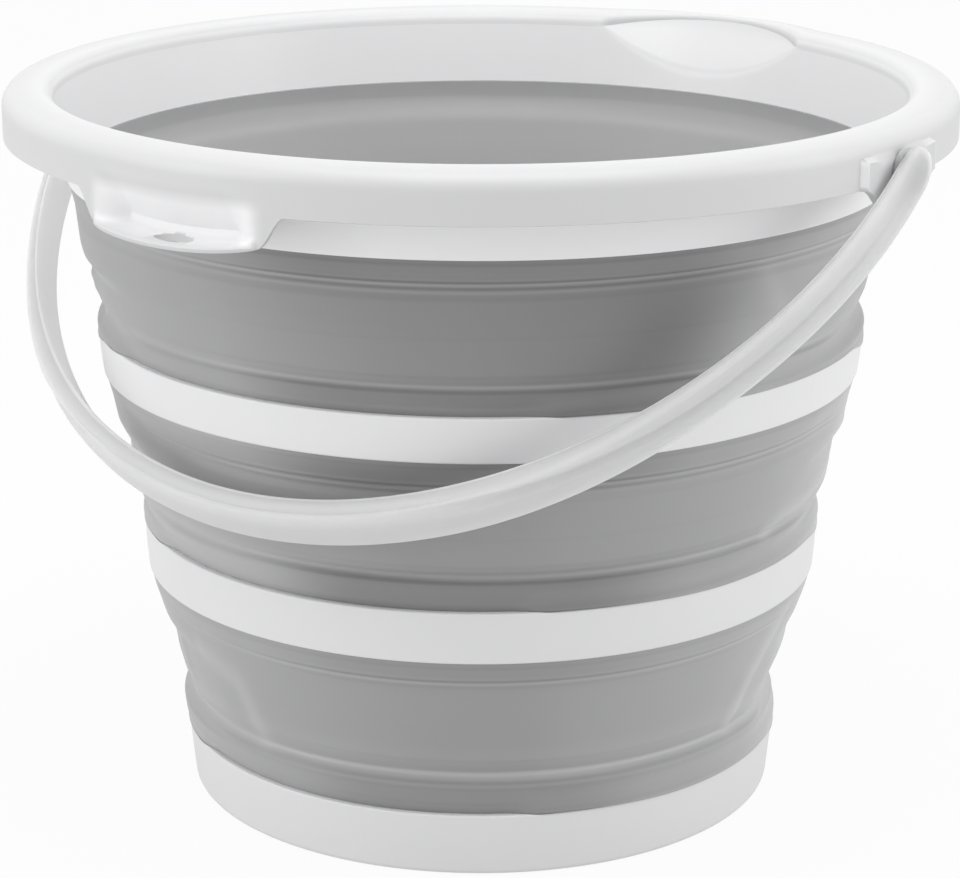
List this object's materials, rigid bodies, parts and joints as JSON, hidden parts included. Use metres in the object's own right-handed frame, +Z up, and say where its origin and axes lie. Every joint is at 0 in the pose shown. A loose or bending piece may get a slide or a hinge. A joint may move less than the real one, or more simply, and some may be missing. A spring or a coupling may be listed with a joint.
{
  "type": "collapsible camp bucket",
  "caption": "Folding bucket: rigid rim with spout and hanging tab, rigid rings joined by soft folding walls, and a swinging bail handle.",
  "frame": {"origin": "middle of the underside of the base, where the bucket stands on the floor", "axes": "+Z up along the bucket's axis, +X along the handle's pivot axis, -Y towards the hanging tab, +Y towards the pouring spout"},
  "size_m": [0.3346, 0.3261, 0.246],
  "materials": {
    "rim": "white polypropylene, smooth gloss",
    "ring": "white polypropylene, satin",
    "base": "white polypropylene, satin",
    "handle": "white polypropylene, satin",
    "soft_wall": "grey thermoplastic rubber, matt"
  },
  "bodies": {
    "base": {"base": "base", "lower_wall": "soft_wall"},
    "lower_ring": {"lower_ring": "ring", "middle_wall": "soft_wall"},
    "middle_ring": {"middle_ring": "ring", "upper_wall": "soft_wall"},
    "rim": {"rim": "rim"},
    "handle": {"handle": "handle"}
  },
  "joints": [
    {"name": "lower_fold", "type": "slide", "parent": "base", "child": "lower_ring", "axis": [0, 0, 1], "range_m": [-0.063, 0], "deforming": ["lower_wall"]},
    {"name": "middle_fold", "type": "slide", "parent": "lower_ring", "child": "middle_ring", "axis": [0, 0, 1], "range_m": [-0.063, 0], "deforming": ["middle_wall"]},
    {"name": "upper_fold", "type": "slide", "parent": "middle_ring", "child": "rim", "axis": [0, 0, 1], "range_m": [-0.063, 0], "deforming": ["upper_wall"]},
    {"name": "handle_pivot", "type": "hinge", "parent": "rim", "child": "handle", "pos_m": [0, 0, 0.2335], "axis": [-1, 0, 0], "range_deg": [0, 258.8]}
  ]
}
